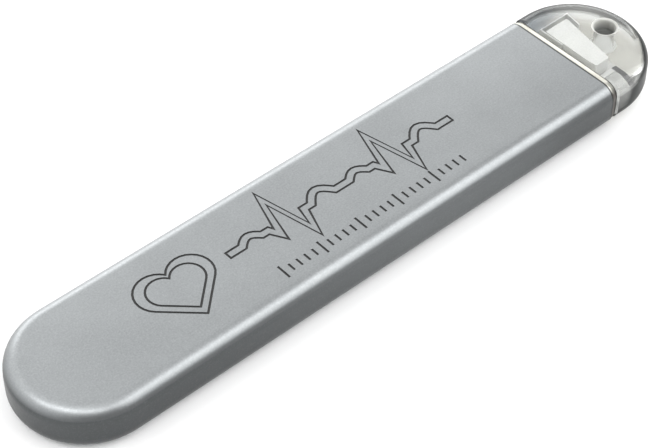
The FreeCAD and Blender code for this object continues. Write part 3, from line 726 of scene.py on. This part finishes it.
# Rim between the can and the header: a narrow flat land and then a wide shallow bevel down to the header.
# In the CAD mesh the bevel runs for BEVEL_DROP along the capsule and goes in by BEVEL_RUN.

LAND = 0.07
BEVEL_RUN = 0.38
BEVEL_DROP = 0.12
RIM_ROUND = 1.0


def bevelled_rim():
    """The plate as it was made in CAD, with its bevel laid shallower along the capsule.

    The outline's corners stand about RIM_ROUND from the roundings' centres, and inner corners stand nearer.
    """
    rim = cad_copy("header_plate", "bevelled_rim")
    flat_half = mm_box("header_plate")[1].y - RIM_ROUND
    for vert in rim.data.vertices:
        x, y, z = vert.co / MM
        share = (x - (JOINT - BEVEL_DROP)) / BEVEL_DROP
        side = max(abs(y) - flat_half, 0)
        height = max(z - (TOP - RIM_ROUND), 0) + min(z - RIM_ROUND, 0)
        away = Vector((math.copysign(side, y), height))
        on_bevel = share > -0.01 and away.length > 0.5 * RIM_ROUND
        if on_bevel:
            grow = away.normalized() * (BEVEL_RUN - BEVEL_DROP) * share
            vert.co = Vector((CAN_END + LAND + BEVEL_RUN * share, y + grow.x, z + grow.y)) * MM
    smooth(rim.data, 12)
    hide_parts("header_plate")
    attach(rim, "root")


bevelled_rim()


# Studio: pale floor, white surroundings and soft lamps. Sizes and distances here are in metres.

FLOOR_HALF = 1.5
FLOOR_BELOW = 0.00001


def stage_floor():
    mesh = bpy.data.meshes.new("floor")
    corners = [(-1, -1), (1, -1), (1, 1), (-1, 1)]
    mesh.from_pydata([(x * FLOOR_HALF, y * FLOOR_HALF, 0) for x, y in corners], [], [(0, 1, 2, 3)])
    floor = add_object("floor", mesh)
    floor.location.z = -FLOOR_BELOW
    material = bpy.data.materials.new("floor")
    material.use_nodes = True
    bsdf = material.node_tree.nodes["Principled BSDF"]
    bsdf.inputs["Base Color"].default_value = (0.95, 0.95, 0.95, 1)
    bsdf.inputs["Roughness"].default_value = 1.0
    bsdf.inputs["Specular IOR Level"].default_value = 0.0
    mesh.materials.append(material)


def studio_world():
    """White surroundings, dimmer to the near side, where the wall of the can looks, and past the header."""
    world = bpy.data.worlds.new("studio")
    bpy.context.scene.world = world
    world.use_nodes = True
    tree = world.node_tree
    background = tree.nodes["Background"]
    background.inputs["Color"].default_value = (1, 1, 1, 1)
    place = tree.nodes.new("ShaderNodeTexCoord")
    split = tree.nodes.new("ShaderNodeSeparateXYZ")
    tree.links.new(place.outputs["Generated"], split.inputs[0])
    both = tree.nodes.new("ShaderNodeMath")
    both.operation = "MULTIPLY"
    fades = (("Y", -0.85, 0.1, 0.42, 1.12), ("X", 0.9, -0.1, 0.5, 1.15))
    for target, (axis, *values) in zip(both.inputs, fades):
        fade = tree.nodes.new("ShaderNodeMapRange")
        fade.interpolation_type = "SMOOTHSTEP"
        for name, value in zip(("From Min", "From Max", "To Min", "To Max"), values):
            fade.inputs[name].default_value = value
        tree.links.new(split.outputs[axis], fade.inputs["Value"])
        tree.links.new(fade.outputs["Result"], target)
    tree.links.new(both.outputs[0], background.inputs["Strength"])


def lamp(name, direction, distance, width, height, power):
    """A soft rectangular lamp that looks at the origin, with its power in watts."""
    data = bpy.data.lights.new(name, "AREA")
    data.shape = "RECTANGLE"
    data.size = width
    data.size_y = height
    data.energy = power
    light = add_object(name, data)
    way = Vector(direction).normalized()
    light.location = way * distance
    light.rotation_euler = (-way).to_track_quat("-Z", "Y").to_euler()


stage_floor()
studio_world()
lamp("front_softbox", (0.48, -0.57, 0.67), distance=0.5, width=0.44, height=0.42, power=1.27)
lamp("far_softbox", (0.52, 0.78, 0.33), distance=0.6, width=0.75, height=0.3, power=1.36)
lamp("nose_softbox", (-0.42, -0.16, 0.87), distance=0.5, width=0.6, height=0.15, power=0.7)


# Camera as it was fitted to the photograph: a turn vector in radians and a shift in millimetres, both in
# the picture's axes with X to the right, Y down and Z away from the camera, and a focal length in pixels.

TURN = Vector((2.244, -0.847, 0.350))
SHIFT = Vector((1.487, -1.229, 122.218))
FOCAL_PIXELS = 2010.7
PHOTO_WIDTH = 650
SENSOR = 36.0


def place_camera():
    data = bpy.data.cameras.new("camera")
    data.sensor_width = SENSOR
    data.sensor_fit = "HORIZONTAL"
    data.lens = FOCAL_PIXELS * SENSOR / PHOTO_WIDTH
    data.clip_start = 0.005
    data.clip_end = 20
    camera = add_object("camera", data)
    turn = Matrix.Rotation(TURN.length, 3, TURN.normalized())
    place = Vector((0, 0, TOP / 2)) - turn.transposed() @ SHIFT
    axes = Matrix((turn[0], -turn[1], -turn[2])).transposed()
    camera.matrix_world = Matrix.Translation(place * MM) @ axes.to_4x4()
    bpy.context.scene.camera = camera


place_camera()
bpy.context.scene.view_settings.view_transform = "Standard"
